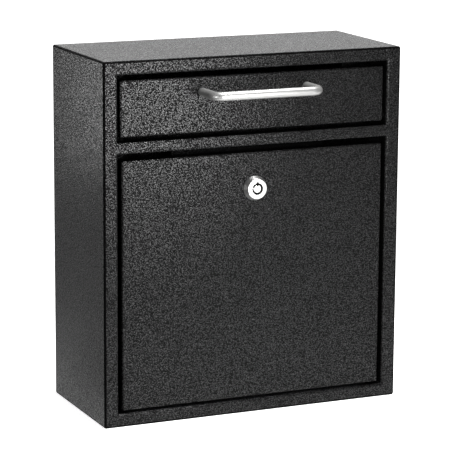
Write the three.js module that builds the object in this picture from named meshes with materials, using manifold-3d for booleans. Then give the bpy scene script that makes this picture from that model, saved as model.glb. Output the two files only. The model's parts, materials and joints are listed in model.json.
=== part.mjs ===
// Wall drop box: a folded sheet-steel cabinet with a pull-down hopper flap above and a
// key-locked door below. Millimetres, +Z up. The origin is the centre of the underside,
// the front faces -Y and +X is to the right of someone who stands in front.
import * as THREE from 'three';
import { mergeVertices } from 'three/addons/utils/BufferGeometryUtils.js';
import Module from 'manifold-3d';

const wasm = await Module();
wasm.setup();

// ---------------------------------------------------------------- driving dimensions

const cabinet = { width: 271, height: 307, depth: 119 };
const sheet = 1.2;          // steel thickness of every folded piece
const foldRadius = 1.6;     // outside radius of a fold
const fit = 0.3;            // gap between pieces that touch or are welded
const frame = { stile: 12.5, topRail: 11.7, bottomRail: 11.4, returnDepth: 12, sillDepth: 23.5 };
const crossbar = { bottom: 230.4, top: 239.8 };

const door = { width: 238.8, bottom: 14.2, top: 224.6, setback: 1, depth: 11.4 };
const doorPivot = { behindFace: 4, aboveBottom: 4 };
const flap = { width: 240.8, bottom: 243.6, top: 290.9, setback: 2.2, depth: 8.5, opens: 50 };
const flapPivot = { behindFace: 4, aboveBottom: 4.2 };

const trayAngle = THREE.MathUtils.degToRad(48);   // slope of the tray below level, flap closed
const trayReach = 104.5;    // from the flap's pivot to the tray's tip
const cheekRadius = 40;
const lugRadius = 52;

const handle = { bar: 7.5, centres: 95, standoff: 28.2, bend: 8, height: 277.5 };
const lock = { height: 194.3, camLength: 32 };

// ---------------------------------------------------------------- places worked out from them

const front = -cabinet.depth / 2;
const back = cabinet.depth / 2;
const halfWidth = cabinet.width / 2;
const openingHalf = halfWidth - frame.stile;
const openingTop = cabinet.height - frame.topRail;
const doorHalf = door.width / 2;
const flapHalf = flap.width / 2;

const doorAxis = { y: front + door.setback + doorPivot.behindFace, z: door.bottom + doorPivot.aboveBottom };
const flapAxis = { y: front + flap.setback + flapPivot.behindFace, z: flap.bottom + flapPivot.aboveBottom };
const stopPlane = front + door.setback + door.depth + 0.5;   // front of the stops behind both leaves

// ---------------------------------------------------------------- finishes

const finish = (color, roughness, metalness) => new THREE.MeshStandardMaterial({ color, roughness, metalness });
const blackCoat = () => finish(0x141414, 0.5, 0.1);
const brightSteel = () => finish(0xd4d6d8, 0.18, 1.0);
const zincSteel = () => finish(0x9da1a5, 0.4, 1.0);
const rubber = () => finish(0x1c1c1c, 0.9, 0.0);

// ---------------------------------------------------------------- solids

// A closed geometry as a solid that can be cut and joined.
function solid(geometry) {
  const bare = geometry.clone();
  bare.deleteAttribute('normal');
  bare.deleteAttribute('uv');
  const merged = mergeVertices(bare, 1e-4);
  const mesh = new wasm.Mesh({
    numProp: 3,
    vertProperties: new Float32Array(merged.attributes.position.array),
    triVerts: new Uint32Array(merged.index.array),
  });
  return new wasm.Manifold(mesh);
}

// A solid back as a geometry for a mesh.
function geometryOf(body) {
  const mesh = body.getMesh();
  const geometry = new THREE.BufferGeometry();
  geometry.setAttribute('position', new THREE.BufferAttribute(new Float32Array(mesh.vertProperties), 3));
  geometry.setIndex(new THREE.BufferAttribute(new Uint32Array(mesh.triVerts), 1));
  geometry.computeVertexNormals();
  return geometry;
}

function box(x, y, z) {
  const geometry = new THREE.BoxGeometry(x[1] - x[0], y[1] - y[0], z[1] - z[0]);
  geometry.translate((x[0] + x[1]) / 2, (y[0] + y[1]) / 2, (z[0] + z[1]) / 2);
  return solid(geometry);
}

// A rod or disc along X, centred on (y, z), from x[0] to x[1].
function rodX(radius, x, y, z, sides = 24) {
  const geometry = new THREE.CylinderGeometry(radius, radius, x[1] - x[0], sides);
  geometry.rotateZ(Math.PI / 2);
  geometry.translate((x[0] + x[1]) / 2, y, z);
  return solid(geometry);
}

// A rod or disc along Y, centred on (x, z), from y[0] to y[1].
function rodY(radius, y, x, z, sides = 24) {
  const geometry = new THREE.CylinderGeometry(radius, radius, y[1] - y[0], sides);
  geometry.translate(x, (y[0] + y[1]) / 2, z);
  return solid(geometry);
}

// A turned piece along Y: profile is a list of [radius, y] that starts and ends on the axis.
function turnedY(profile, sides = 32) {
  return solid(new THREE.LatheGeometry(profile.map(([radius, y]) => new THREE.Vector2(radius, y)), sides));
}

// An outline in (y, z), pushed along X from x[0] to x[1].
function extrudeX(outline, x) {
  const geometry = new THREE.ExtrudeGeometry(outline, { depth: x[1] - x[0], bevelEnabled: false, curveSegments: 8 });
  const turn = new THREE.Matrix4().makeBasis(
    new THREE.Vector3(0, 1, 0), new THREE.Vector3(0, 0, 1), new THREE.Vector3(1, 0, 0));
  geometry.applyMatrix4(turn);
  geometry.translate(x[0], 0, 0);
  return solid(geometry);
}

function polygon(points) {
  return new THREE.Shape(points.map(([u, v]) => new THREE.Vector2(u, v)));
}

function roundedRectangle(u, v, radius) {
  const outline = new THREE.Shape();
  outline.moveTo(u[0] + radius, v[0]);
  outline.lineTo(u[1] - radius, v[0]);
  outline.absarc(u[1] - radius, v[0] + radius, radius, -Math.PI / 2, 0, false);
  outline.lineTo(u[1], v[1] - radius);
  outline.absarc(u[1] - radius, v[1] - radius, radius, 0, Math.PI / 2, false);
  outline.lineTo(u[0] + radius, v[1]);
  outline.absarc(u[0] + radius, v[1] - radius, radius, Math.PI / 2, Math.PI, false);
  outline.lineTo(u[0], v[0] + radius);
  outline.absarc(u[0] + radius, v[0] + radius, radius, Math.PI, 1.5 * Math.PI, false);
  return outline;
}

// A block whose front edges and corners are rounded by the fold radius. Its rear is cut square.
function foldedBlock(x, y, z) {
  const spare = 10;
  const outline = roundedRectangle(x, z, foldRadius + fit);
  const geometry = new THREE.ExtrudeGeometry(outline, {
    depth: y[1] - y[0] + spare - 2 * foldRadius,
    bevelThickness: foldRadius,
    bevelSize: foldRadius,
    bevelOffset: -foldRadius,
    bevelSegments: 4,
    curveSegments: 4,
  });
  geometry.rotateX(Math.PI / 2);
  geometry.translate(0, y[1] + spare - foldRadius, 0);
  const wide = cabinet.width;
  return solid(geometry).subtract(box([-wide, wide], [y[1], y[1] + 2 * spare], [z[0] - wide, z[1] + wide]));
}

// A tray folded from sheet: a front with four walls that run back from it.
function foldedPan(x, y, z) {
  const inside = box(
    [x[0] + sheet, x[1] - sheet], [y[0] + sheet, y[1] + 1], [z[0] + sheet, z[1] - sheet]);
  return foldedBlock(x, y, z).subtract(inside);
}

// ---------------------------------------------------------------- groups and placing

const group = new THREE.Group();
const flapGroup = new THREE.Group();
flapGroup.position.set(0, flapAxis.y, flapAxis.z);
const doorGroup = new THREE.Group();
doorGroup.position.set(0, doorAxis.y, doorAxis.z);
const lockGroup = new THREE.Group();
lockGroup.position.set(0, -doorPivot.behindFace, lock.height - doorAxis.z);
doorGroup.add(lockGroup);
group.add(flapGroup, doorGroup);

function place(parent, name, body, material, position = [0, 0, 0]) {
  const mesh = new THREE.Mesh(geometryOf(body), material);
  mesh.name = name;
  mesh.position.set(...position);
  parent.add(mesh);
}

const sides = [['left', -1], ['right', 1]];

// ---------------------------------------------------------------- cabinet

// The bar left between the windows, a channel open to the rear.
function crossbarChannel() {
  const end = openingHalf + sheet;
  const z = [crossbar.bottom, crossbar.top];
  const depth = [front, front + frame.returnDepth];
  return foldedBlock([-halfWidth, halfWidth], depth, z)
    .intersect(box([-end, end], depth, z))
    .subtract(box([-end - 1, end + 1], [front + sheet, back], [z[0] + sheet, z[1] - sheet]));
}

// The wrap is top, sides and bottom with a narrow front that has two windows, one for the flap
// and one for the door. The windows' edges turn back into the cabinet; the lowest is a deep sill
// that carries the door's hinge. The flap's pivot rod passes through the two side returns.
function cabinetShell() {
  const opening = [[-openingHalf, openingHalf], [frame.bottomRail, openingTop]];
  const returns = box(
    [-openingHalf - sheet, openingHalf + sheet],
    [front + sheet / 2, front + frame.returnDepth],
    [frame.bottomRail - sheet, openingTop + sheet]);
  const sill = box(
    [-openingHalf - sheet, openingHalf + sheet],
    [front + sheet / 2, front + frame.sillDepth],
    [frame.bottomRail - sheet, frame.bottomRail]);
  const window = box(opening[0], [front - 1, front + frame.sillDepth + 1], opening[1]);
  const rodHole = rodX(2.3, [-openingHalf - 3, openingHalf + 3], flapAxis.y, flapAxis.z, 16);
  return foldedPan([-halfWidth, halfWidth], [front, back], [0, cabinet.height])
    .add(returns.subtract(box(
      [-openingHalf, openingHalf], [front - 1, back], [frame.bottomRail, openingTop])))
    .add(sill)
    .subtract(window)
    .add(crossbarChannel())
    .subtract(rodHole);
}

// The rear is closed by a shallow pan set flush inside the wrap. Four holes take wall screws.
const wallHole = { radius: 3.25, x: 95, fromEdge: 45 };
function backPanel() {
  const depth = 12;
  const half = halfWidth - sheet - fit;
  const z = [sheet + fit, cabinet.height - sheet - fit];
  const outside = box([-half, half], [back - depth, back], z);
  const inside = box(
    [-half + sheet, half - sheet], [back - depth - 1, back - sheet], [z[0] + sheet, z[1] - sheet]);
  let panel = outside.subtract(inside);
  for (const x of [-wallHole.x, wallHole.x]) {
    for (const height of [wallHole.fromEdge, cabinet.height - wallHole.fromEdge]) {
      panel = panel.subtract(rodY(wallHole.radius, [back - 3, back + 1], x, height, 20));
    }
  }
  return panel;
}

// An angle welded along the outside of a stile's return; its free leg stands behind the leaves.
const stop = { inner: 113, bottom: 22, top: 294 };
function stileStop(side) {
  const z = [stop.bottom, stop.top];
  const weldX = openingHalf + sheet + fit;
  const leg = box([weldX, weldX + sheet], [front + 3, stopPlane + sheet], z);
  const blade = box([stop.inner, weldX + sheet], [stopPlane, stopPlane + sheet], z);
  const rodGap = box([weldX - 1, weldX + sheet + 1], [front, flapAxis.y + 6], [flapAxis.z - 6, flapAxis.z + 6]);
  const angle = leg.add(blade).subtract(rodGap);
  return side < 0 ? angle.mirror([1, 0, 0]) : angle;
}

// An angle welded inside the crossbar. It hangs down behind the door's top edge, so that the cam
// can turn up behind it.
const keeper = { half: 70, face: door.setback + 13.8, bottom: 219 };
function lockKeeper() {
  const underside = crossbar.bottom + sheet + fit;
  const outer = front + keeper.face + sheet;
  return extrudeX(polygon([
    [front + 2, underside],
    [outer - sheet, underside],
    [outer - sheet, keeper.bottom],
    [outer, keeper.bottom],
    [outer, underside + sheet],
    [front + 2, underside + sheet],
  ]), [-keeper.half, keeper.half]);
}

place(group, 'cabinet_shell', cabinetShell(), blackCoat());
place(group, 'back_panel', backPanel(), blackCoat());
place(group, 'lock_keeper', lockKeeper(), blackCoat());
for (const [name, side] of sides) {
  place(group, `stile_stop_${name}`, stileStop(side), blackCoat());
}

// Rubber rests: two on the keeper for the door's top wall, two on the stops for the flap. The
// lower two sit just under the door's top edge, out of sight.
const doorRest = { x: 55, radius: 3, z: door.top - 2.8 };
const flapRest = { x: 116.5, radius: 3, z: 280 };
const doorBack = front + door.setback + door.depth;
const flapBack = front + flap.setback + flap.depth;
for (const [name, side] of sides) {
  const doorPad = rodY(doorRest.radius, [doorBack + fit, front + keeper.face - 0.1], 0, 0);
  place(group, `door_bumper_${name}`, doorPad, rubber(), [side * doorRest.x, 0, doorRest.z]);
  const flapPad = rodY(flapRest.radius, [flapBack + fit, stopPlane - 0.1], 0, 0);
  place(group, `flap_bumper_${name}`, flapPad, rubber(), [side * flapRest.x, 0, flapRest.z]);
}

// The flap turns on one rod, held at each end by a push-on clip outside the return.
const rod = { radius: 2, half: openingHalf + 5.5 };
place(group, 'flap_pivot_rod', rodX(rod.radius, [-rod.half, rod.half], 0, 0), blackCoat(),
  [0, flapAxis.y, flapAxis.z]);
for (const [name, side] of sides) {
  const inner = openingHalf + 3.2;
  const clip = rodX(4.5, [inner, inner + 0.8], 0, 0).subtract(rodX(rod.radius + 0.15, [inner - 1, inner + 2], 0, 0));
  place(group, `rod_clip_${name}`, side < 0 ? clip.mirror([1, 0, 0]) : clip, blackCoat(),
    [0, flapAxis.y, flapAxis.z]);
}

// ---------------------------------------------------------------- door hinge

// Eleven knuckles on one pin. The cabinet's leaf holds the outer and every second one, and is
// stepped down to the sill; the door's leaf holds the others and stands against the door's front.
const hinge = { half: 110, knuckles: 11, radius: 2.5, bore: 1.6, pin: 1.4, leaf: 1 };
const knuckleLength = 2 * hinge.half / hinge.knuckles;

function knuckle(index) {
  const start = -hinge.half + index * knuckleLength;
  return [start + fit / 2, start + knuckleLength - fit / 2];
}

// Joins every second knuckle to a leaf and cuts the leaf clear of the others.
function hingeLeaf(leaf, firstKnuckle) {
  let body = leaf;
  for (let index = 0; index < hinge.knuckles; index += 1) {
    const x = knuckle(index);
    if (index % 2 === firstKnuckle) {
      body = body.add(rodX(hinge.radius, x, 0, 0, 16));
    } else {
      const clear = hinge.radius + fit;
      body = body.subtract(box([x[0] - fit, x[1] + fit], [-clear, clear], [-clear, clear]));
    }
  }
  return body.subtract(rodX(hinge.bore, [-hinge.half - 1, hinge.half + 1], 0, 0, 16));
}

function frameLeaf() {
  const sillTop = frame.bottomRail - doorAxis.z + 0.1;
  const step = 6;
  const r = hinge.radius;
  const t = hinge.leaf;
  return hingeLeaf(extrudeX(polygon([
    [0, -r],
    [step - t, -r],
    [step - t, sillTop],
    [frame.sillDepth - doorPivot.behindFace - door.setback - 1, sillTop],
    [frame.sillDepth - doorPivot.behindFace - door.setback - 1, sillTop + t],
    [step, sillTop + t],
    [step, -r + t],
    [0, -r + t],
  ]), [-hinge.half, hinge.half]), 0);
}

function doorLeaf() {
  const leaf = box([-hinge.half, hinge.half], [-hinge.radius, -hinge.radius + hinge.leaf], [0, 16]);
  return hingeLeaf(leaf, 1);
}

const doorHingeAt = [0, doorAxis.y, doorAxis.z];
place(group, 'door_hinge_frame_leaf', frameLeaf(), zincSteel(), doorHingeAt);
place(group, 'door_hinge_pin', rodX(hinge.pin, [-hinge.half, hinge.half], 0, 0, 16), zincSteel(), doorHingeAt);
place(doorGroup, 'door_hinge_door_leaf', doorLeaf(), zincSteel());

// ---------------------------------------------------------------- door

// A tubular lock's body has two flats, so that it can't turn in the door.
function flattedRod(radius, acrossFlats, y) {
  const flats = box([-acrossFlats / 2, acrossFlats / 2], [y[0], y[1]], [-radius, radius]);
  return rodY(radius, y, 0, 0).intersect(flats);
}

const lockBody = { radius: 9.2, flats: 16, bore: 6.6 };

// The door's side walls slope in at the bottom and it has no bottom wall, so that the lower edge
// can swing in above the sill.
function doorPanel() {
  const face = -doorPivot.behindFace;
  const rear = face + door.depth;
  const bottom = -doorPivot.aboveBottom;
  const top = door.top - doorAxis.z;
  const slope = extrudeX(polygon([
    [2, bottom - 1],
    [rear + 1, bottom - 1],
    [rear + 1, 10],
    [rear, 10],
    [2, bottom],
  ]), [-doorHalf - 1, doorHalf + 1]);
  const lockHole = flattedRod(lockBody.radius + 0.2, lockBody.flats + 0.4, [-4, 4])
    .translate([0, face, lock.height - doorAxis.z]);
  const belowEdge = box([-doorHalf - 1, doorHalf + 1], [face - 1, rear + 1], [bottom - 10, bottom]);
  return foldedPan([-doorHalf, doorHalf], [face, rear], [bottom - 5, top])
    .subtract(belowEdge)
    .subtract(slope)
    .subtract(lockHole);
}

place(doorGroup, 'door_panel', doorPanel(), blackCoat());

// ---------------------------------------------------------------- lock

// Places along Y, measured back from the door's outer face.
const lockAt = {
  face: -6, keyway: -2, bodyEnd: 14.2, nut: [sheet + fit, sheet + fit + 3],
  stop: [14.4, 15.2], cam: [15.5, 17.3], washer: [17.4, 18.0], screw: [18.1, 20.6],
};
const keyway = { outer: 4.75, post: 3.65, pinCircle: 4.2, pin: 0.42, pins: 7 };
const tail = { radius: 5, flats: 7.6 };

// The housing's head is a cone that narrows forward; its body passes through the door.
function lockHousing() {
  const outside = turnedY([
    [0, lockAt.face],
    [8.2, lockAt.face],
    [8.6, lockAt.face + 0.4],
    [10.4, -1.2],
    [10.5, -0.8],
    [10.5, -0.1],
    [0, -0.1],
  ]);
  const bore = rodY(keyway.outer, [lockAt.face - 1, lockAt.keyway + 1], 0, 0, 32)
    .add(rodY(lockBody.bore, [lockAt.keyway, lockAt.bodyEnd + 1], 0, 0, 32));
  const notch = box([-0.8, 0.8], [lockAt.face - 1, lockAt.face + 1.2], [keyway.post + 0.5, keyway.outer + 1]);
  return outside
    .add(flattedRod(lockBody.radius, lockBody.flats, [-0.5, lockAt.bodyEnd]))
    .subtract(bore)
    .subtract(notch);
}

// The plug's post fills the middle of the ring keyway and seven pins stand in the ring.
function lockPlug() {
  let plug = rodY(lockBody.bore - 0.15, [lockAt.keyway + fit, lockAt.bodyEnd], 0, 0, 32)
    .add(rodY(keyway.post, [lockAt.face + 0.3, lockAt.keyway + 1], 0, 0, 32))
    .add(flattedRod(tail.radius, tail.flats, [lockAt.bodyEnd - 1, lockAt.cam[1] - 0.1]));
  for (let index = 0; index < keyway.pins; index += 1) {
    const turn = Math.PI / 2 + 2 * Math.PI * (index + 0.5) / keyway.pins;
    const x = keyway.pinCircle * Math.cos(turn);
    const z = keyway.pinCircle * Math.sin(turn);
    plug = plug.add(rodY(keyway.pin, [lockAt.face + 0.8, lockAt.keyway + 1], x, z, 10));
  }
  return plug.subtract(rodY(2.15, [lockAt.cam[1] - 8, lockAt.cam[1] + 1], 0, 0, 16));
}

// A hexagonal nut, a plate that limits the plug's turn, and the cam with its rounded end.
function lockNut() {
  const nut = rodY(12.7, lockAt.nut, 0, 0, 6);
  return nut.subtract(rodY(lockBody.radius + 0.15, [0, 10], 0, 0));
}

function stopWasher() {
  return rodY(8.4, lockAt.stop, 0, 0).subtract(flattedRod(tail.radius + 0.2, tail.flats + 0.4, [14, 16]));
}

function lockCam() {
  const half = 8;
  const blade = box([-lock.camLength, 0], lockAt.cam, [-half, half]);
  return blade
    .add(rodY(half, lockAt.cam, 0, 0))
    .subtract(flattedRod(tail.radius + 0.2, tail.flats + 0.4, [15, 18]));
}

function camScrew() {
  return rodY(4, lockAt.screw, 0, 0).add(rodY(2, [lockAt.cam[1] - 6, lockAt.screw[0] + 0.5], 0, 0, 16));
}

function washer(outer, inner, y) {
  return rodY(outer, y, 0, 0).subtract(rodY(inner, [y[0] - 1, y[1] + 1], 0, 0, 16));
}

place(lockGroup, 'lock_housing', lockHousing(), brightSteel());
place(lockGroup, 'lock_nut', lockNut(), zincSteel());
place(lockGroup, 'lock_plug', lockPlug(), brightSteel());
place(lockGroup, 'lock_stop_washer', stopWasher(), zincSteel());
place(lockGroup, 'lock_cam', lockCam(), zincSteel());
place(lockGroup, 'cam_washer', washer(5, 2.25, lockAt.washer), zincSteel());
place(lockGroup, 'cam_screw', camScrew(), zincSteel());

// ---------------------------------------------------------------- flap

const flapFace = -flapPivot.behindFace;
const flapInner = flapFace + sheet;
const flapTop = flap.top - flapAxis.z;
const handleHeight = handle.height - flapAxis.z;
const handleScrewHole = 2.3;

// The side walls have the pivot holes and slope in below them; the bottom wall is shallow.
function flapPanel() {
  const rear = flapFace + flap.depth;
  const bottom = -flapPivot.aboveBottom;
  const slope = extrudeX(polygon([
    [1.5, bottom - 1],
    [rear + 1, bottom - 1],
    [rear + 1, 2],
    [rear, 2],
    [1.5, bottom],
  ]), [-flapHalf - 1, flapHalf + 1]);
  let panel = foldedPan([-flapHalf, flapHalf], [flapFace, rear], [bottom, flapTop])
    .subtract(slope)
    .subtract(rodX(rod.radius + 0.3, [-flapHalf - 1, flapHalf + 1], 0, 0, 20));
  for (const [, side] of sides) {
    panel = panel.subtract(rodY(handleScrewHole, [flapFace - 1, 0], side * handle.centres / 2, handleHeight, 16));
  }
  return panel;
}

// Local directions of the closed tray: along runs back and down, up stands square to it.
const along = [Math.cos(trayAngle), -Math.sin(trayAngle)];
const up = [Math.sin(trayAngle), Math.cos(trayAngle)];
const trayUnder = 3;
const trayHalf = 109;

function onTray(distance, lift) {
  return [along[0] * distance + up[0] * lift, along[1] * distance + up[1] * lift];
}

// The tray starts against the flap's front, passes over the pivot rod and ends in a hem.
function hopperTray() {
  const start = (flapInner + fit - up[0] * trayUnder) / along[0];
  const end = Math.sqrt(trayReach ** 2 - (trayUnder + sheet) ** 2);
  const foot = onTray(start, trayUnder);
  const hem = 6;
  return extrudeX(polygon([
    [foot[0], foot[1] + 12],
    foot,
    onTray(end - sheet, trayUnder),
    onTray(end - sheet, trayUnder - hem),
    onTray(end, trayUnder - hem),
    onTray(end, trayUnder + sheet),
    onTray(start + sheet / along[0] - sheet * up[0] / along[0], trayUnder + sheet),
    [foot[0] + sheet, foot[1] + 12],
  ]), [-trayHalf + fit, trayHalf - fit]);
}

// A cheek closes the hopper's side. Its lug, further out, meets the end of the top rail's return
// when the flap is open.
function hopperCheek(side) {
  const degrees = THREE.MathUtils.degToRad;
  const returnEnd = frame.returnDepth - flap.setback - flapPivot.behindFace;
  const lugStart = degrees(20);
  const lugEnd = Math.acos((returnEnd + 0.5) / (openingTop - flapAxis.z)) - degrees(flap.opens);
  const cheekTop = Math.PI / 2 + 0.02;
  const outline = new THREE.Shape();
  const start = onTray(8, trayUnder + sheet);
  outline.moveTo(...start);
  outline.absarc(0, 0, cheekRadius, -trayAngle + 0.12, lugStart, false);
  outline.absarc(0, 0, lugRadius, lugStart, lugEnd, false);
  outline.absarc(0, 0, cheekRadius, lugEnd, cheekTop, false);
  outline.lineTo(flapInner + fit, cheekRadius - 1);
  outline.lineTo(flapInner + fit, 6);
  outline.closePath();
  const plate = extrudeX(outline, [trayHalf, trayHalf + sheet]);
  const flange = box(
    [trayHalf - 9, trayHalf + sheet], [flapInner + fit, flapInner + fit + sheet], [22, cheekRadius - 2]);
  const cheek = plate.add(flange);
  return side < 0 ? cheek.mirror([1, 0, 0]) : cheek;
}

place(flapGroup, 'flap_panel', flapPanel(), blackCoat());
place(flapGroup, 'hopper_tray', hopperTray(), blackCoat());
for (const [name, side] of sides) {
  place(flapGroup, `hopper_cheek_${name}`, hopperCheek(side), blackCoat());
}

// ---------------------------------------------------------------- handle

// The wire pull's centre line in the level plane: leg, quarter bend, bar, quarter bend, leg.
class PullCurve extends THREE.Curve {
  constructor(halfCentres, reach, bend) {
    super();
    Object.assign(this, { halfCentres, reach, bend });
    this.leg = reach - bend;
    this.arc = bend * Math.PI / 2;
    this.bar = 2 * (halfCentres - bend);
    this.length = 2 * this.leg + 2 * this.arc + this.bar;
  }

  getPoint(t, target = new THREE.Vector3()) {
    const mirrored = t > 0.5;
    const run = this.length * (mirrored ? 1 - t : t);
    let x = -this.halfCentres;
    let y = -run;
    if (run > this.leg + this.arc) {
      x += this.bend + run - this.leg - this.arc;
      y = -this.reach;
    } else if (run > this.leg) {
      const turn = (run - this.leg) / this.bend;
      x += this.bend * (1 - Math.cos(turn));
      y = -this.leg - this.bend * Math.sin(turn);
    }
    return target.set(mirrored ? -x : x, y, 0);
  }
}

function pullHandle() {
  const section = new THREE.Shape();
  section.absarc(0, 0, handle.bar / 2, 0, 2 * Math.PI, false);
  const path = new PullCurve(handle.centres / 2, handle.standoff - 0.1, handle.bend);
  const geometry = new THREE.ExtrudeGeometry(section, { steps: 48, curveSegments: 8, extrudePath: path });
  let body = solid(geometry);
  for (const [, side] of sides) {
    body = body.subtract(rodY(2.15, [-11, 1], side * handle.centres / 2, 0, 12));
  }
  return body;
}

place(flapGroup, 'handle', pullHandle(), brightSteel(), [0, flapFace - 0.1, handleHeight]);
for (const [name, side] of sides) {
  const at = [side * handle.centres / 2, flapInner, handleHeight];
  const screw = rodY(3.75, [1.0, 3.4], 0, 0).add(rodY(2, [-9, 1.5], 0, 0, 16));
  place(flapGroup, `handle_washer_${name}`, washer(4.8, 2.25, [0.1, 0.9]), zincSteel(), at);
  place(flapGroup, `handle_screw_${name}`, screw, zincSteel(), at);
}

export default group;
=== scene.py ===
import json
import math

import bmesh
import bpy
from mathutils import Matrix, Vector


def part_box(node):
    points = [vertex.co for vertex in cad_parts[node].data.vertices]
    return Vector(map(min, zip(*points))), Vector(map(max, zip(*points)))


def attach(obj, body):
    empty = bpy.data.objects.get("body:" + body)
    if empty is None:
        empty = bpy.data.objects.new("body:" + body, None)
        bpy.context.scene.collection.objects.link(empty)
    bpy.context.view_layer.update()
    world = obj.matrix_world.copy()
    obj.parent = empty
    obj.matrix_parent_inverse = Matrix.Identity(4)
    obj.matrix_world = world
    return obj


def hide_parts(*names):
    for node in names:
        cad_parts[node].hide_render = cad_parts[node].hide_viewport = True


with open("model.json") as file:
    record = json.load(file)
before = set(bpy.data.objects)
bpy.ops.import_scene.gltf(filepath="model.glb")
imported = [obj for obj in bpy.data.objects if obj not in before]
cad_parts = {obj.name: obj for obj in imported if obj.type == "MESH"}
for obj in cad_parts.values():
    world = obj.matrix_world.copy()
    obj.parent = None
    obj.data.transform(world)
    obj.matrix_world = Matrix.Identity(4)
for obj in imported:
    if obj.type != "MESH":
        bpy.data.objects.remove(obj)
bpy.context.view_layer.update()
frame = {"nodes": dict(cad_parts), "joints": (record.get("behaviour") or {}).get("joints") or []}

MM = 0.001

# ---------------------------------------------------------------- camera
# A long lens that looks at the cabinet from its left front corner, a little above its middle.
# Its place and turn are in metres and degrees; its lens and sensor are in millimetres.

VIEW_FROM = Vector((-0.8020, -1.7932, 0.5617))
VIEW_TURN = math.radians(-24.073)
VIEW_DOWN = math.radians(11.805)
VIEW_ROLL = math.radians(0.335)
SENSOR_WIDTH = 36
FOCAL_LENGTH = 185.98

lens = bpy.data.cameras.new("view")
lens.sensor_width = SENSOR_WIDTH
lens.lens = FOCAL_LENGTH
view = bpy.data.objects.new("view", lens)
bpy.context.scene.collection.objects.link(view)
backward = Vector((
    math.sin(VIEW_TURN) * math.cos(VIEW_DOWN),
    -math.cos(VIEW_TURN) * math.cos(VIEW_DOWN),
    math.sin(VIEW_DOWN)))
right = Vector((0, 0, 1)).cross(backward).normalized()
upward = backward.cross(right)
level = Matrix((right, upward, backward)).transposed().to_4x4()
view.matrix_world = Matrix.Translation(VIEW_FROM) @ level @ Matrix.Rotation(VIEW_ROLL, 4, "Z")
bpy.context.scene.camera = view

# ---------------------------------------------------------------- cabinet shell
# One folded sheet-steel wrap: top, sides and bottom with a narrow front frame whose inner edges
# turn back into the cabinet, and a channel between the two windows. It is powder coated black
# with a fine hammered grain; the outer folds and the returns inside the gaps get a darker, duller
# copy of the coat, which is painted shade.

SHEET = 1.2 * MM
FOLD = 1.7 * MM
INNER_FOLD = 2.2 * MM
FOLD_STEPS = 6
CORNER_STEPS = 6
WINDOW_CORNER = 0.6 * MM
STILE = 12.5 * MM
TOP_RAIL = 11.7 * MM
BOTTOM_RAIL = 11.4 * MM
BAR_BOTTOM = 230.4 * MM
BAR_TOP = 239.8 * MM
RETURN_DEPTH = 12 * MM
SILL_DEPTH = 23.5 * MM
FLAT_SHARE = 0.997    # a face whose normal is at least this much along one axis is on a flat
FRONT_SHARE = 0.5    # a face whose normal has at least this much along y looks forward or back
SHARP_ANGLE = math.radians(40)
SAME_POINT = 1e-6

GRAIN_STRETCH = (1.0, 1.0, 1.25)
PEBBLE_SCALE = 800.0
SPECK_SCALE = 1100.0
WARP_SCALE = 330.0
WARP_REACH = 3 * MM
GRAIN_HEIGHT = 1.2 * MM
PEBBLE_SHARE = 0.8    # of the grain's height; the specks add theirs
SPECK_SHARE = 0.5
PEAK_START = 0.62    # the grain height above which the coat begins to shine
PEAK_GAIN = 2.9
PIT_COLOUR = (0.002, 0.002, 0.002)
PEAK_COLOUR = (0.016, 0.016, 0.0165)
PEAK_SPECULAR = 0.07
PATCH_SCALE = 12.0
SMOOTHEST = 0.28
ROUGHEST = 0.34
COAT_ROUGHNESS = 0.33
COAT_IOR = 1.5
# the share of the coat's sheen and peak colour kept by the darker copy that is painted shade
PAINTED_SHADE_SHEEN = 0.08


class Socket:
    """A socket in a node tree. Arithmetic on it adds Math nodes."""

    def __init__(self, nodes, socket):
        self.nodes = nodes
        self.socket = socket

    def _math(self, operation, first, second):
        return self.nodes.node("ShaderNodeMath", {"operation": operation}, {0: first, 1: second})

    def __add__(self, other):
        return self._math("ADD", self, other)

    __radd__ = __add__

    def __mul__(self, other):
        return self._math("MULTIPLY", self, other)

    __rmul__ = __mul__

    def __sub__(self, other):
        return self._math("SUBTRACT", self, other)

    def __rsub__(self, other):
        return self._math("SUBTRACT", other, self)


class Nodes:
    """A node tree that nodes are added to."""

    def __init__(self, tree):
        self.tree = tree

    def node(self, kind, settings=None, inputs=None, output=0):
        """Adds a node, with its settings first and then its inputs, as values or sockets."""
        node = self.tree.nodes.new(kind)
        for name, value in (settings or {}).items():
            setattr(node, name, value)
        for name, value in (inputs or {}).items():
            self.set(node.inputs[name], value)
        return Socket(self, node.outputs[output])

    def set(self, target, value):
        if isinstance(value, Socket):
            self.tree.links.new(value.socket, target)
        else:
            target.default_value = value


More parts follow.
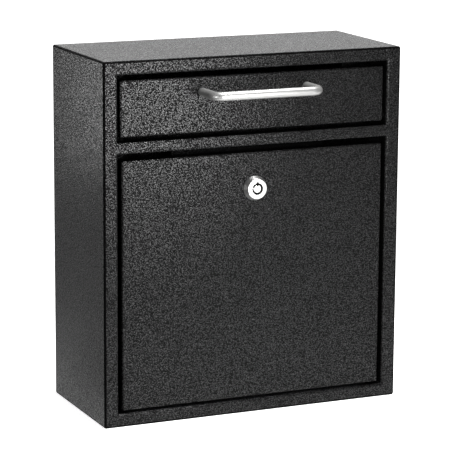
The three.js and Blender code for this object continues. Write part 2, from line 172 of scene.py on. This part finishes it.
class Finish(Nodes):
    """A material with a Principled shader, and the nodes that vary it over the surface."""

    def __init__(self, name):
        self.material = bpy.data.materials.new(name)
        self.material.use_nodes = True
        super().__init__(self.material.node_tree)
        self.shader = self.tree.nodes["Principled BSDF"]

    def place(self, stretch=(1, 1, 1)):
        """Where a point is in the object, in metres, stretched along each axis."""
        point = self.node("ShaderNodeTexCoord", output="Object")
        return self.node("ShaderNodeMapping", None, {"Vector": point, "Scale": stretch})

    def noise(self, point, scale, detail=2.0, roughness=0.5):
        return self.node(
            "ShaderNodeTexNoise", None,
            {"Vector": point, "Scale": scale, "Detail": detail, "Roughness": roughness})

    def between(self, share, low, high):
        """A value that runs from low to high as share runs from 0 to 1."""
        return self.node(
            "ShaderNodeMapRange", None, {"Value": share, "To Min": low, "To Max": high})

    def blend(self, share, first, second):
        """A colour that runs from the first to the second as share runs from 0 to 1."""
        first_colour, second_colour = 6, 7    # the Mix node's sockets for colours
        return self.node(
            "ShaderNodeMix", {"data_type": "RGBA"},
            {"Factor": share, first_colour: (*first, 1), second_colour: (*second, 1)}, output=2)

    def drive(self, **inputs):
        """Sets or links sockets of the shader. Underscores in a name stand for spaces."""
        for name, value in inputs.items():
            self.set(self.shader.inputs[name.replace("_", " ")], value)

    def relief(self, height, distance, strength=1.0):
        """Raises the surface by a height, as a bump."""
        self.drive(Normal=self.node(
            "ShaderNodeBump", None, {"Height": height, "Distance": distance, "Strength": strength}))


def powder_coat(name, sheen=1.0):
    """Black powder coat: worm-like grain a millimetre or two across. A sheen below 1 makes the darker,
    duller copy used as painted shade.
    """
    finish = Finish(name)
    point = finish.place(GRAIN_STRETCH)
    warp = finish.node(
        "ShaderNodeTexNoise", None, {"Vector": point, "Scale": WARP_SCALE, "Detail": 1.0},
        output="Color")
    bent = finish.node(
        "ShaderNodeVectorMath", {"operation": "MULTIPLY_ADD"}, {0: warp, 1: (WARP_REACH,) * 3, 2: point})
    pebbles = finish.node(
        "ShaderNodeTexVoronoi", {"feature": "SMOOTH_F1"},
        {"Vector": bent, "Scale": PEBBLE_SCALE, "Smoothness": 0.25}, output="Distance")
    specks = finish.noise(bent, SPECK_SCALE)
    patches = finish.noise(point, PATCH_SCALE, 3.0)
    height = (1 - pebbles) * PEBBLE_SHARE + specks * SPECK_SHARE
    peaks = (height - PEAK_START) * PEAK_GAIN
    finish.drive(
        Base_Color=finish.blend(peaks, PIT_COLOUR, [share * sheen for share in PEAK_COLOUR]),
        Roughness=finish.between(patches, SMOOTHEST, ROUGHEST),
        Specular_IOR_Level=PEAK_SPECULAR * sheen,
        Coat_Weight=peaks * sheen,
        Coat_Roughness=COAT_ROUGHNESS,
        Coat_IOR=COAT_IOR)
    finish.relief(height, GRAIN_HEIGHT)
    return finish.material


def polish(piece):
    """Joins doubled points, points every face outward and smooths all but the sharp edges."""
    work = bmesh.new()
    work.from_mesh(piece.data)
    bmesh.ops.remove_doubles(work, verts=work.verts, dist=SAME_POINT)
    bmesh.ops.dissolve_degenerate(work, edges=work.edges, dist=SAME_POINT)
    bmesh.ops.recalc_face_normals(work, faces=work.faces)
    work.to_mesh(piece.data)
    work.free()
    for face in piece.data.polygons:
        face.use_smooth = True
    piece.data.set_sharp_from_angle(angle=SHARP_ANGLE)
    weights = piece.modifiers.new("even shading", "WEIGHTED_NORMAL")
    weights.keep_sharp = True


def new_object(name, vertices, faces):
    """An object in the scene, from its vertices and faces."""
    mesh = bpy.data.meshes.new(name)
    mesh.from_pydata(vertices, [], faces)
    made = bpy.data.objects.new(name, mesh)
    bpy.context.scene.collection.objects.link(made)
    return made


def new_piece(name, vertices, faces, material, body):
    """A piece that rides a body, with flats that look flat and folds that look smooth."""
    piece = new_object(name, vertices, faces)
    piece.data.materials.append(material)
    polish(piece)
    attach(piece, body)
    return piece


def rounded_loop(x, z, radius):
    """Points of a rounded rectangle in x and z, the same number whatever the radius."""
    points = []
    corners = [(x[1], z[0], -90), (x[1], z[1], 0), (x[0], z[1], 90), (x[0], z[0], 180)]
    for corner_x, corner_z, start in corners:
        centre_x = corner_x - radius if corner_x == x[1] else corner_x + radius
        centre_z = corner_z - radius if corner_z == z[1] else corner_z + radius
        for step in range(CORNER_STEPS + 1):
            turn = math.radians(start + 90 * step / CORNER_STEPS)
            points.append((centre_x + radius * math.cos(turn), centre_z + radius * math.sin(turn)))
    return points


def quarter(centre, radius, start, end):
    """Points of an arc about a centre, from one angle to another, in degrees."""
    points = []
    for step in range(FOLD_STEPS + 1):
        turn = math.radians(start + (end - start) * step / FOLD_STEPS)
        points.append((centre[0] + radius * math.cos(turn), centre[1] + radius * math.sin(turn)))
    return points


def loft(loops, closed=False):
    """Faces between loops of points. A closed loft joins the last loop to the first."""
    vertices = [point for loop in loops for point in loop]
    count = len(loops[0])
    faces = []
    pairs = len(loops) if closed else len(loops) - 1
    for row in range(pairs):
        here = row * count
        there = (row + 1) % len(loops) * count
        for step in range(count):
            following = (step + 1) % count
            faces.append((here + step, here + following, there + following, there + step))
    if not closed:
        faces.append(tuple(range(count)))
        faces.append(tuple(range(len(vertices) - count, len(vertices)))[::-1])
    return vertices, faces


def brick(x, y, z):
    """Vertices and faces of a block between two values along each axis."""
    vertices = [(px, py, pz) for px in x for py in y for pz in z]
    faces = [(0, 1, 3, 2), (4, 6, 7, 5), (0, 4, 5, 1), (2, 3, 7, 6), (0, 2, 6, 4), (1, 5, 7, 3)]
    return vertices, faces


def prism(outline, x):
    """Vertices and faces of an outline in (y, z) pushed along x."""
    return loft([[(px, y, z) for y, z in outline] for px in x])


def joined(*parts):
    """Several sets of vertices and faces as one."""
    vertices = []
    faces = []
    for part_vertices, part_faces in parts:
        start = len(vertices)
        vertices += part_vertices
        faces += [tuple(index + start for index in face) for face in part_faces]
    return vertices, faces


shell_low, shell_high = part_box("cabinet_shell")
FRONT = shell_low.y
REAR = shell_high.y
HALF_WIDTH = shell_high.x
HEIGHT = shell_high.z
window_half = HALF_WIDTH - STILE
bar_half = window_half + INNER_FOLD


def shell_section():
    """The wrap's section as (inset, share of the frame's width, depth, corner radius)."""
    outer = (FOLD, FOLD)
    inner = (-INNER_FOLD, INNER_FOLD)
    rows = [(0.0, 0, REAR - FRONT, FOLD)]
    for inset, depth in quarter(outer, FOLD, 180, 270):
        rows.append((inset, 0, depth, FOLD - inset))
    for inset, depth in quarter(inner, INNER_FOLD, 270, 360):
        rows.append((inset, 1, depth, WINDOW_CORNER))
    rows.append((0.0, 1, RETURN_DEPTH, WINDOW_CORNER))
    rows.append((-SHEET, 1, RETURN_DEPTH, WINDOW_CORNER))
    for inset, depth in quarter(inner, INNER_FOLD - SHEET, 360, 270):
        rows.append((inset, 1, depth, WINDOW_CORNER))
    for inset, depth in quarter(outer, FOLD - SHEET, 270, 180):
        rows.append((inset, 0, depth, FOLD - inset))
    rows.append((SHEET, 0, REAR - FRONT, FOLD - SHEET))
    return rows


def shell_loop(inset, share, depth, radius):
    """One row of the wrap's section taken round the whole cabinet."""
    side = inset + share * STILE
    x = (-HALF_WIDTH + side, HALF_WIDTH - side)
    z = (inset + share * BOTTOM_RAIL, HEIGHT - inset - share * TOP_RAIL)
    return [(px, FRONT + depth, pz) for px, pz in rounded_loop(x, z, max(radius, 0.0))]


def channel_section():
    """The outline, in (y, z), of the channel left between the two windows."""
    outline = [(RETURN_DEPTH, BAR_BOTTOM)]
    outline += quarter((FOLD, BAR_BOTTOM + FOLD), FOLD, 270, 180)
    outline += quarter((FOLD, BAR_TOP - FOLD), FOLD, 180, 90)
    outline += [
        (RETURN_DEPTH, BAR_TOP), (RETURN_DEPTH, BAR_TOP - SHEET), (SHEET, BAR_TOP - SHEET),
        (SHEET, BAR_BOTTOM + SHEET), (RETURN_DEPTH, BAR_BOTTOM + SHEET)]
    return [(FRONT + depth, height) for depth, height in outline]


def is_painted_shade_face(face):
    """Whether a face of the wrap is on an outer fold or on a return inside a window's gap, and so gets
    painted shade.
    """
    on_fold = max(abs(share) for share in face.normal) < FLAT_SHARE
    beside_windows = abs(face.center.x) < bar_half + SHEET and (
        BOTTOM_RAIL - INNER_FOLD < face.center.z < HEIGHT - TOP_RAIL + INNER_FOLD)
    if on_fold or not beside_windows:
        return on_fold and not beside_windows
    return abs(face.normal.y) < FRONT_SHARE and face.center.y > FRONT + INNER_FOLD / 2


coat = powder_coat("powder_coat")
# a darker, duller copy of the coat: painted shade for the folds and the gaps
painted_shade_coat = powder_coat("painted_shade_powder_coat", PAINTED_SHADE_SHEEN)
shell = loft([shell_loop(*row) for row in shell_section()], closed=True)
sill = brick(
    (-window_half, window_half),
    (FRONT + RETURN_DEPTH, FRONT + SILL_DEPTH),
    (BOTTOM_RAIL - SHEET, BOTTOM_RAIL))
bar = prism(channel_section(), (-bar_half, bar_half))
wrap = new_piece("shell_wrap", *joined(shell, sill, bar), coat, "cabinet")
# faces on the outer folds and on the returns in the gaps get the painted shade
wrap.data.materials.append(painted_shade_coat)
for face in wrap.data.polygons:
    if is_painted_shade_face(face):
        face.material_index = 1
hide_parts("cabinet_shell")

# ---------------------------------------------------------------- door and flap fronts
# Two shallow pans folded from the same sheet, recessed behind the frame and coated like it. The
# door has no bottom wall, so that it can swing down over its hinge.

OVERCUT = 1 * MM    # how far a cutter reaches past what it cuts
DOOR_EXCESS = 5 * MM    # built below the door, then cut off with the bottom wall
DOOR_SLOPE = (2 * MM, 10 * MM)    # behind the pin at the bottom, and above it at the rear
FLAP_SLOPE = (1.5 * MM, 2 * MM)
LOCK_HOLE = 9.4 * MM
LOCK_HOLE_FLATS = 16.4 * MM
SCREW_HOLE = 2.3 * MM
HOLE_DEPTH = 4 * MM
WALL_SHARE = 0.1    # a face whose normal has less than this along y is on a wall of a pan


def pan(low, high):
    """A pan that is open to the rear."""
    deep = high.y - low.y
    centre = (FOLD, FOLD)
    rows = quarter(centre, FOLD - SHEET, 180, 270)[::-1]
    rows += [(SHEET, deep), (0.0, deep)]
    rows += quarter(centre, FOLD, 180, 270)
    loops = []
    for inset, depth in rows:
        x = (low.x + inset, high.x - inset)
        z = (low.z + inset, high.z - inset)
        corners = rounded_loop(x, z, max(FOLD - inset, 0.0))
        loops.append([(px, low.y + depth, pz) for px, pz in corners])
    return loft(loops)


def rod_along_y(radius, y, x, z, sides=48, flats=None):
    """A rod along y. flats is the distance across two upright flats, if it has them."""
    ends = []
    for py in y:
        loop = []
        for step in range(sides):
            turn = 2 * math.pi * step / sides
            px = radius * math.cos(turn)
            if flats:
                px = max(-flats / 2, min(flats / 2, px))
            loop.append((x + px, py, z + radius * math.sin(turn)))
        ends.append(loop)
    return loft(ends)


def cut_away(piece, *cutters):
    """Cuts blocks, prisms or rods, given as vertices and faces, out of a piece."""
    for vertices, faces in cutters:
        cutter = new_object("cutter", vertices, faces)
        polish(cutter)
        cut = piece.modifiers.new("cut", "BOOLEAN")
        cut.operation = "DIFFERENCE"
        cut.solver = "EXACT"
        cut.object = cutter
        piece.modifiers.move(len(piece.modifiers) - 1, 0)
        bpy.context.view_layer.update()
        with bpy.context.temp_override(object=piece):
            bpy.ops.object.modifier_apply(modifier="cut")
        bpy.data.objects.remove(cutter)


def slope_below(low, high, pin, slope):
    """The wedge cut off both side walls so that their lower corners swing clear of the frame."""
    start, rise = slope
    outline = [
        (pin.y + start, low.z - OVERCUT), (high.y + OVERCUT, low.z - OVERCUT),
        (high.y + OVERCUT, pin.z + rise), (high.y, pin.z + rise), (pin.y + start, low.z)]
    return prism(outline, (low.x - OVERCUT, high.x + OVERCUT))


def hole(front, x, z, radius, flats=None):
    """A rod that cuts a hole through the front of a pan."""
    return rod_along_y(radius, (front - OVERCUT, front + HOLE_DEPTH), x, z, flats=flats)


def paint_shade_on_walls(piece):
    """Gives a pan's side, top and bottom walls the darker, duller coat, as painted shade in the gaps."""
    piece.data.materials.append(painted_shade_coat)
    for face in piece.data.polygons:
        if abs(face.normal.y) < WALL_SHARE:
            face.material_index = 1


joint_at = {joint["name"]: Vector(joint["pos_m"]) for joint in frame["joints"]}
lock_axis = joint_at["lock_turn"]
door_low, door_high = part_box("door_panel")
flap_low, flap_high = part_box("flap_panel")
handle_low, handle_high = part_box("handle")
screw_low, screw_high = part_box("handle_screw_right")
screw_x = (screw_low.x + screw_high.x) / 2
screw_z = (handle_low.z + handle_high.z) / 2

door_front = new_piece(
    "door_front", *pan(door_low - Vector((0, 0, DOOR_EXCESS)), door_high), coat, "door")
paint_shade_on_walls(door_front)
cut_away(
    door_front,
    brick((door_low.x - OVERCUT, door_high.x + OVERCUT), (door_low.y - OVERCUT, door_high.y + OVERCUT),
          (door_low.z - 2 * DOOR_EXCESS, door_low.z)),
    slope_below(door_low, door_high, joint_at["door_drop"], DOOR_SLOPE),
    hole(door_low.y, lock_axis.x, lock_axis.z, LOCK_HOLE, LOCK_HOLE_FLATS))
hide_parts("door_panel")

flap_front = new_piece("flap_front", *pan(flap_low, flap_high), coat, "flap")
paint_shade_on_walls(flap_front)
cut_away(
    flap_front,
    slope_below(flap_low, flap_high, joint_at["flap_tilt"], FLAP_SLOPE),
    hole(flap_low.y, screw_x, screw_z, SCREW_HOLE),
    hole(flap_low.y, -screw_x, screw_z, SCREW_HOLE))
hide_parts("flap_panel")

# ---------------------------------------------------------------- hidden folded steel
# Back panel, tray and cheeks are folded from the same sheet and fully coated. The keeper, the
# stops, the pivot rod and its clips sit deep in the gaps and get the darker, duller coat as painted shade.


def refinish(names, material):
    """Gives a finish to pieces whose shape is already as it should be."""
    for name in names:
        slots = frame["nodes"][name].data.materials
        slots.clear()
        slots.append(material)


refinish(("back_panel", "hopper_tray", "hopper_cheek_left", "hopper_cheek_right"), coat)
# parts deep in the gaps take the darker coat, which is painted shade
refinish(
    ("lock_keeper", "stile_stop_left", "stile_stop_right",
     "flap_pivot_rod", "rod_clip_left", "rod_clip_right"), painted_shade_coat)

# ---------------------------------------------------------------- handle
# A wire pull bent from bright round bar, held by a screw into each end from inside the flap.

HANDLE_BEND = 8 * MM
HANDLE_BEND_STEPS = 10
HANDLE_SIDES = 32
DRAW_STRETCH = (1, 60, 60)    # draw marks run along the bar


def bright_bar():
    """Drawn bright steel: satin, with fine marks along the bar and a little smudging."""
    finish = Finish("bright_bar")
    drawn = finish.noise(finish.place(DRAW_STRETCH), 60.0, 3.0, 0.6)
    smudge = finish.noise(finish.place(), 90.0, 3.0)
    finish.drive(
        Base_Color=finish.blend(smudge, (0.27, 0.27, 0.265), (0.36, 0.36, 0.355)),
        Metallic=0.75,
        Roughness=finish.between(smudge, 0.33, 0.42))
    finish.relief(drawn, 0.02 * MM, 0.5)
    return finish.material


def pull_path(half, reach):
    """The pull's centre line in the level plane, in (x, y): leg, bend, bar, bend, leg."""
    left = [(-half, 0.0), (-half, HANDLE_BEND - reach)]
    for step in range(1, HANDLE_BEND_STEPS + 1):
        turn = math.pi / 2 * step / HANDLE_BEND_STEPS
        left.append((
            -half + HANDLE_BEND * (1 - math.cos(turn)),
            -reach + HANDLE_BEND * (1 - math.sin(turn))))
    return left + [(-x, y) for x, y in reversed(left)]


def swept_round(path, radius, height):
    """Loops of a round bar around a path in a level plane."""
    loops = []
    for index, (x, y) in enumerate(path):
        before = path[max(index - 1, 0)]
        after = path[min(index + 1, len(path) - 1)]
        run = Vector((after[0] - before[0], after[1] - before[1], 0)).normalized()
        across = Vector((run.y, -run.x, 0))
        loop = []
        for step in range(HANDLE_SIDES):
            turn = 2 * math.pi * step / HANDLE_SIDES
            offset = across * math.cos(turn) + Vector((0, 0, 1)) * math.sin(turn)
            loop.append(Vector((x, y, height)) + offset * radius)
        loops.append(loop)
    return loops


bar_radius = (handle_high.z - handle_low.z) / 2
reach = handle_high.y - handle_low.y - bar_radius
path = [(x, y + handle_high.y) for x, y in pull_path(handle_high.x - bar_radius, reach)]
pull = new_piece("pull_bar", *loft(swept_round(path, bar_radius, screw_z)), bright_bar(), "flap")
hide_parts("handle")

# ---------------------------------------------------------------- lock
# A tubular cam lock in plated brass: a housing clamped through the door by a nut, and a plug whose
# post and seven pins stand in the ring keyway. The inside of the keyway carries painted shade, near black.

KEYWAY_RADIUS = 4.75 * MM
HEAD_STANDOFF = 6 * MM
# The head's outline from the keyway's rim to its back: radius, and distance in front of the door.
HEAD_OUTLINE = [
    (4.75, 5.8), (4.95, 6.0), (8.1, 6.0), (8.45, 5.88),
    (8.65, 5.55), (10.3, 1.1), (10.5, 0.8), (10.5, 0.1)]
BODY_RADIUS = 9.2 * MM
BODY_BORE = 6.6 * MM
BODY_FLATS = 8 * MM    # from the axis to each flat
BODY_SHOULDER = 2 * MM    # how far behind the door's face the keyway opens into the bore
FLATS_START = 0.1 * MM
RIM_NOTCH_HALF = 0.8 * MM
RIM_NOTCH = (3.9 * MM, 5.75 * MM)    # its inner and outer distance from the axis
RIM_NOTCH_DEPTH = 1.2 * MM
POST_RADIUS = 3.35 * MM
POST_SETBACK = 0.3 * MM
POST_CHAMFER = 0.25 * MM
POST_NOTCH_HALF = 0.75 * MM
POST_NOTCH = (2.5 * MM, 3.45 * MM)
POST_NOTCH_STOP = 0.5 * MM    # how far it stops short of the keyway's floor
KEYWAY_DEPTH = 1.7 * MM    # of its floor behind the door's face
PLUG_PLAY = 0.15 * MM
TAIL_RADIUS = 4.2 * MM
PINS = 7
PIN_RADIUS = 0.42 * MM
PIN_CIRCLE = 4.2 * MM
PIN_SETBACK = 0.8 * MM
PIN_ROOT = 0.2 * MM    # how far a pin goes into the keyway's floor
PIN_SIDES = 16
TURNED_SIDES = 72
RIM_DARK = (POST_RADIUS, 5.85 * MM)    # between these radii, faces behind the rim's edge get painted shade
RIM_DARK_FROM = 0.05 * MM    # behind the head's face
POST_DARK = (2.2 * MM, BODY_BORE)
POST_DARK_FROM = 0.3 * MM    # behind the post's face


def lock_plating():
    """Bright nickel plating, lightly smudged by fingers."""
    finish = Finish("lock_plating")
    point = finish.place()
    grain = finish.noise(point, 1500.0)
    smudge = finish.noise(point, 260.0, 3.0)
    finish.drive(
        Base_Color=finish.blend(smudge, (0.66, 0.66, 0.65), (0.80, 0.80, 0.79)),
        Metallic=1.0,
        Roughness=finish.between(smudge, 0.26, 0.40))
    finish.relief(grain, 0.02 * MM, 0.4)
    return finish.material


def keyway_painted_shade():
    """Painted shade for the inside of the ring keyway: near black, a little mottled."""
    finish = Finish("keyway_painted_shade")
    shade_mottle = finish.noise(finish.place(), 700.0)
    finish.drive(
        Base_Color=finish.blend(shade_mottle, (0.001, 0.001, 0.001), (0.004, 0.004, 0.003)),
        Roughness=finish.between(shade_mottle, 0.35, 0.6),
        Specular_IOR_Level=0.1)
    finish.relief(shade_mottle, 0.03 * MM, 0.4)
    return finish.material


def turned(profile, x, z):
    """Loops of a turned piece along y. profile is a list of (radius, y)."""
    loops = []
    for radius, y in profile:
        loop = []
        for step in range(TURNED_SIDES):
            turn = 2 * math.pi * step / TURNED_SIDES
            loop.append((x + radius * math.cos(turn), y, z + radius * math.sin(turn)))
        loops.append(loop)
    return loops


def paint_keyway_shade(piece, finish, radii, front):
    """Gives painted shade to faces between two radii from the lock's axis and behind a front."""
    piece.data.materials.append(finish)
    inner, outer = radii
    for face in piece.data.polygons:
        away = math.hypot(face.center.x - lock_axis.x, face.center.z - lock_axis.z)
        if inner <= away <= outer and (face.center.y > front or abs(face.normal.y) < FRONT_SHARE):
            face.material_index = len(piece.data.materials) - 1


def notch(half, y, radii):
    """A block that cuts a notch at the top of a ring about the lock's axis."""
    x = (lock_axis.x - half, lock_axis.x + half)
    return brick(x, y, [lock_axis.z + radius for radius in radii])


def beyond_flat(side):
    """A block that cuts one flat on the housing's body, on the side given as 1 or -1."""
    past = BODY_RADIUS + OVERCUT
    x = sorted((lock_axis.x + side * BODY_FLATS, lock_axis.x + side * past))
    return brick(x, (door_face + FLATS_START, body_end + OVERCUT), (lock_axis.z - past, lock_axis.z + past))


plating = lock_plating()
keyway_shade_finish = keyway_painted_shade()
door_face = door_low.y
head = door_face - HEAD_STANDOFF
body_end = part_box("lock_housing")[1].y
keyway_floor = door_face - KEYWAY_DEPTH
housing_profile = [(radius * MM, door_face - ahead * MM) for radius, ahead in HEAD_OUTLINE]
housing_profile += [
    (BODY_RADIUS, housing_profile[-1][1]), (BODY_RADIUS, body_end), (BODY_BORE, body_end),
    (BODY_BORE, door_face - BODY_SHOULDER), (KEYWAY_RADIUS, door_face - BODY_SHOULDER)]
housing = new_piece(
    "lock_body", *loft(turned(housing_profile, lock_axis.x, lock_axis.z), closed=True), plating, "door")
cut_away(
    housing,
    notch(RIM_NOTCH_HALF, (head - OVERCUT, head + RIM_NOTCH_DEPTH), RIM_NOTCH),
    beyond_flat(1),
    beyond_flat(-1))
# the keyway's walls behind the rim get painted shade
paint_keyway_shade(housing, keyway_shade_finish, RIM_DARK, head + RIM_DARK_FROM)
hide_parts("lock_housing")

post_front = head + POST_SETBACK
plug_radius = BODY_BORE - PLUG_PLAY
plug_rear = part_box("lock_plug")[1].y
plug_profile = [
    (0.0, post_front), (POST_RADIUS - POST_CHAMFER, post_front), (POST_RADIUS, post_front + POST_CHAMFER),
    (POST_RADIUS, keyway_floor), (plug_radius, keyway_floor), (plug_radius, body_end),
    (TAIL_RADIUS, body_end), (TAIL_RADIUS, plug_rear), (0.0, plug_rear)]
plug_parts = [loft(turned(plug_profile, lock_axis.x, lock_axis.z))]
for index in range(PINS):
    turn = math.pi / 2 + 2 * math.pi * (index + 0.5) / PINS
    plug_parts.append(rod_along_y(
        PIN_RADIUS, (head + PIN_SETBACK, keyway_floor + PIN_ROOT),
        lock_axis.x + PIN_CIRCLE * math.cos(turn), lock_axis.z + PIN_CIRCLE * math.sin(turn), PIN_SIDES))
plug = new_piece("plug_and_pins", *joined(*plug_parts), plating, "lock")
cut_away(plug, notch(POST_NOTCH_HALF, (head - OVERCUT, keyway_floor - POST_NOTCH_STOP), POST_NOTCH))
# the post's sides inside the keyway get painted shade
paint_keyway_shade(plug, keyway_shade_finish, POST_DARK, post_front + POST_DARK_FROM)
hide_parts("lock_plug")

# ---------------------------------------------------------------- zinc-plated hardware
# Hinge leaves and pin, nut, cam, washers and screws: pressed or turned steel, zinc plated.


def zinc_plate():
    """Dull zinc plating with a faint spangle."""
    finish = Finish("zinc_plate")
    point = finish.place()
    spangle = finish.node(
        "ShaderNodeTexVoronoi", None, {"Vector": point, "Scale": 420.0}, output="Distance")
    cloud = finish.noise(point, 140.0, 3.0)
    finish.drive(
        Base_Color=finish.blend(cloud, (0.40, 0.41, 0.43), (0.62, 0.64, 0.66)),
        Metallic=1.0,
        Roughness=finish.between(spangle, 0.30, 0.52))
    finish.relief(cloud, 0.03 * MM, 0.5)
    return finish.material


refinish(
    ("door_hinge_frame_leaf", "door_hinge_pin", "door_hinge_door_leaf", "lock_nut",
     "lock_stop_washer", "lock_cam", "cam_washer", "cam_screw", "handle_washer_left",
     "handle_washer_right", "handle_screw_left", "handle_screw_right"), zinc_plate())

# ---------------------------------------------------------------- rubber rests
# Four moulded rubber discs that the door and the flap close against.


def moulded_rubber():
    """Matt black rubber with a fine grain from its mould."""
    finish = Finish("moulded_rubber")
    grain = finish.noise(finish.place(), 1800.0, 3.0)
    finish.drive(
        Base_Color=finish.blend(grain, (0.004, 0.004, 0.004), (0.009, 0.009, 0.009)),
        Roughness=finish.between(grain, 0.7, 0.95),
        Specular_IOR_Level=0.1)
    finish.relief(grain, 0.05 * MM, 0.6)
    return finish.material


refinish(
    ("door_bumper_left", "door_bumper_right", "flap_bumper_left", "flap_bumper_right"),
    moulded_rubber())

# ---------------------------------------------------------------- floor and light
# A small studio: a pale glowing floor, a white backdrop behind the box, and soft panels near it.
# The surround is white to the eye, but only the backdrop lights the box. Lengths are in metres.

FLOOR_X = (-0.165, 1.0)
FLOOR_Y = (-1.4, 0.6)
FLOOR_GLOW = 0.70
BACKDROP = Vector((0.43, 0.90, 0.0)).normalized()    # the way to the backdrop's middle
BACKDROP_EDGE = 0.80    # cosine of the angle at which the backdrop has faded out
BACKDROP_FULL = 0.92
BACKDROP_GLOW = 1.5
SURROUND_GLOW = 0.08
WHITE = (1, 1, 1, 1)

floor = new_object(
    "studio_floor",
    [(FLOOR_X[0], FLOOR_Y[0], 0), (FLOOR_X[1], FLOOR_Y[0], 0),
     (FLOOR_X[1], FLOOR_Y[1], 0), (FLOOR_X[0], FLOOR_Y[1], 0)],
    [(0, 1, 2, 3)])
paper = Finish("studio_paper")
paper.drive(
    Base_Color=paper.blend(paper.noise(paper.place(), 3.0), (0.93, 0.93, 0.93), (0.95, 0.95, 0.95)),
    Roughness=0.9,
    Emission_Color=WHITE,
    Emission_Strength=FLOOR_GLOW)
floor.data.materials.append(paper.material)

world = bpy.data.worlds.new("studio")
bpy.context.scene.world = world
world.use_nodes = True
studio = Nodes(world.node_tree)
direction = studio.node("ShaderNodeTexCoord", output="Generated")
facing = studio.node(
    "ShaderNodeVectorMath", {"operation": "DOT_PRODUCT"}, {0: direction, 1: BACKDROP}, output="Value")
glow = studio.node(
    "ShaderNodeMapRange", None,
    {"Value": facing, "From Min": BACKDROP_EDGE, "From Max": BACKDROP_FULL,
     "To Min": SURROUND_GLOW, "To Max": BACKDROP_GLOW})
to_the_eye = studio.node("ShaderNodeLightPath", output="Is Camera Ray")
strength = studio.node("ShaderNodeMath", {"operation": "MAXIMUM"}, {0: glow, 1: to_the_eye})
background = studio.tree.nodes["Background"]
studio.set(background.inputs["Strength"], strength)
studio.set(background.inputs["Color"], WHITE)
bpy.context.scene.view_settings.view_transform = "Standard"


def soft_panel(name, at, aim, size, power):
    """A soft rectangular lamp that the camera doesn't see. power is in watts."""
    lamp = bpy.data.lights.new(name, "AREA")
    lamp.shape = "RECTANGLE"
    lamp.size, lamp.size_y = size
    lamp.energy = power
    panel = bpy.data.objects.new(name, lamp)
    bpy.context.scene.collection.objects.link(panel)
    panel.location = at
    panel.visible_camera = False
    panel.rotation_euler = (Vector(aim) - Vector(at)).to_track_quat("-Z", "Y").to_euler()


soft_panel("front_panel", (0.0, -0.32, 0.26), (-0.12, FRONT, 0.29), size=(0.17, 0.17), power=1.25)
soft_panel("low_front_panel", (0.0, -0.32, 0.14), (-0.12, FRONT, 0.18), size=(0.10, 0.10), power=0.15)
soft_panel("top_panel", (0.10, -0.12, 0.80), (0, FRONT, 0.2), size=(0.40, 0.08), power=10.0)
soft_panel("side_panel", (-0.30, 0.26, 0.24), (-HALF_WIDTH, 0, 0.23), size=(0.08, 0.16), power=0.36)
soft_panel("fold_panel", (-0.50, -0.30, 0.18), (HALF_WIDTH, FRONT, 0.15), size=(0.12, 0.30), power=1.3)
